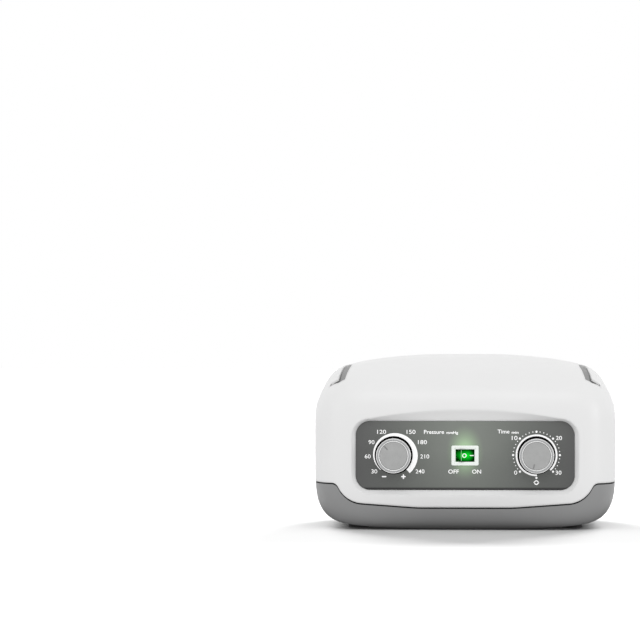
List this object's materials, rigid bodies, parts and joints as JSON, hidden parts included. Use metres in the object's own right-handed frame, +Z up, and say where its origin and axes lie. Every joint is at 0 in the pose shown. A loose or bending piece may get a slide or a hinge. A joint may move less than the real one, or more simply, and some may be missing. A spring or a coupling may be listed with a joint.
{
  "type": "compression therapy pump",
  "caption": "Tabletop air pump for limb compression sleeves: white dome-topped housing on a grey tray, grey panel with pressure dial, lit rocker switch and clockwork timer.",
  "frame": {"origin": "on the table under the middle of the pump's overall length and width", "axes": "+X to the user's right along the front, +Y from the front panel to the back, +Z up"},
  "size_m": [0.2384, 0.2032, 0.1365],
  "materials": {
    "white_shell": "glossy white moulded ABS with a fine moulded grain",
    "grey_base": "satin mid-grey moulded ABS",
    "grip_grey": "soft-touch grey grip strip",
    "panel_grey": "satin grey printed panel",
    "foot_rubber": "black rubber",
    "screw_steel": "zinc-plated steel",
    "knob_grey": "silver-grey satin knob with fine flutes",
    "cap_alloy": "spun aluminium disc",
    "bezel_white": "white nylon",
    "rocker_green": "translucent green, lit from inside",
    "contact_brass": "brass contact",
    "regulator_alloy": "turned aluminium",
    "pinion_brass": "cut brass",
    "spring_steel": "spring steel wire",
    "poppet_rubber": "black rubber",
    "timer_nylon": "natural nylon",
    "timer_brass": "stamped brass",
    "shaft_steel": "ground steel",
    "socket_black": "black glass-filled nylon",
    "outlet_grey": "dark grey nylon",
    "pump_alloy": "die-cast aluminium",
    "core_steel": "varnished laminated steel",
    "coil_copper": "enamelled copper wire",
    "magnet_dark": "nickel-plated magnet",
    "diaphragm_rubber": "black rubber",
    "head_nylon": "black glass-filled nylon",
    "filter_felt": "white felt",
    "valve_acetal": "white acetal",
    "motor_steel": "plated steel can",
    "tube_silicone": "milky silicone hose",
    "lead_red": "insulated lead",
    "board_green": "green circuit board",
    "transformer_dark": "black potting",
    "capacitor_blue": "sleeved capacitor",
    "fuse_glass": "glass fuse",
    "connector_white": "nylon plug socket"
  },
  "bodies": {
    "housing": {"upper_housing": "white_shell", "lower_housing": "grey_base", "rear_plate": "white_shell", "grip_inlays": "grip_grey", "rubber_feet": "foot_rubber", "housing_screws": "screw_steel", "control_panel": "panel_grey", "panel_nuts": "screw_steel", "switch_frame": "bezel_white", "switch_terminals": "contact_brass", "regulator_body": "regulator_alloy", "regulator_spring": "spring_steel", "regulator_poppet": "poppet_rubber", "timer_case": "timer_nylon", "timer_plate": "timer_brass", "mains_inlet": "socket_black", "mains_inlet_pins": "contact_brass", "rear_screws": "screw_steel", "air_outlet_block": "outlet_grey", "pump_frame": "pump_alloy", "coil_cores": "core_steel", "coil_windings": "coil_copper", "pump_screws": "screw_steel", "diaphragms": "diaphragm_rubber", "left_pump_head": "head_nylon", "right_pump_head": "head_nylon", "pump_mounts": "poppet_rubber", "intake_filter": "filter_felt", "valve_body": "valve_acetal", "valve_cover": "valve_acetal", "valve_motor": "motor_steel", "valve_bracket": "pump_alloy", "outlet_tubes": "tube_silicone", "cross_tube": "tube_silicone", "feed_tube": "tube_silicone", "regulator_tube": "tube_silicone", "internal_leads": "lead_red", "control_board": "board_green", "board_screws": "screw_steel", "board_transformer": "transformer_dark", "board_capacitors": "capacitor_blue", "board_fuse": "fuse_glass", "board_connectors": "connector_white"},
    "pressure_dial": {"pressure_knob": "knob_grey", "pressure_knob_cap": "cap_alloy", "regulator_spindle": "shaft_steel"},
    "spring_seat": {"regulator_seat": "valve_acetal"},
    "timer_dial": {"timer_knob": "knob_grey", "timer_knob_cap": "cap_alloy", "timer_shaft": "shaft_steel", "timer_barrel": "timer_brass"},
    "escapement": {"timer_arbor": "shaft_steel", "escape_wheel": "timer_brass"},
    "rocker": {"switch_rocker": "rocker_green"},
    "shuttle": {"shuttle_rod": "shaft_steel", "shuttle_magnets": "magnet_dark", "diaphragm_clamps": "regulator_alloy"},
    "distributor_rotor": {"valve_rotor": "valve_acetal", "valve_gear": "timer_nylon"},
    "distributor_pinion": {"motor_pinion": "pinion_brass"}
  },
  "joints": [
    {"name": "pressure_turn", "type": "hinge", "parent": "housing", "child": "pressure_dial", "pos_m": [-0.0554, -0.089, 0.0581], "axis": [0, -1, 0], "range_deg": [-182, 94]},
    {"name": "seat_slide", "type": "slide", "parent": "housing", "child": "spring_seat", "axis": [0, 1, 0], "range_m": [-0.0012, 0.0022], "deforming": ["regulator_spring"]},
    {"name": "timer_turn", "type": "hinge", "parent": "housing", "child": "timer_dial", "pos_m": [0.0554, -0.089, 0.0581], "axis": [0, -1, 0], "range_deg": [-300, 15]},
    {"name": "escapement_turn", "type": "hinge", "parent": "housing", "child": "escapement", "pos_m": [0.0554, -0.079, 0.0431], "axis": [0, -1, 0], "range_deg": [-39, 772]},
    {"name": "rocker_tilt", "type": "hinge", "parent": "housing", "child": "rocker", "pos_m": [0, -0.08133, 0.0581], "axis": [0, 0, 1], "range_deg": [-28, 0]},
    {"name": "shuttle_slide", "type": "slide", "parent": "housing", "child": "shuttle", "axis": [1, 0, 0], "range_m": [-0.0015, 0.0015], "stiffness_N_per_m": 900, "deforming": ["diaphragms"]},
    {"name": "rotor_spin", "type": "hinge", "parent": "housing", "child": "distributor_rotor", "pos_m": [0.043, 0.0225, 0.0581], "axis": [0, -1, 0], "continuous": true},
    {"name": "pinion_spin", "type": "hinge", "parent": "housing", "child": "distributor_pinion", "pos_m": [0.043, 0.0055, 0.0377], "axis": [0, -1, 0], "continuous": true}
  ],
  "couplings": [
    {"joint": "seat_slide", "follows": "pressure_turn", "m_per_rad": -0.00063662},
    {"joint": "escapement_turn", "follows": "timer_turn", "ratio": -2.5714},
    {"joint": "pinion_spin", "follows": "rotor_spin", "ratio": -2.4}
  ]
}
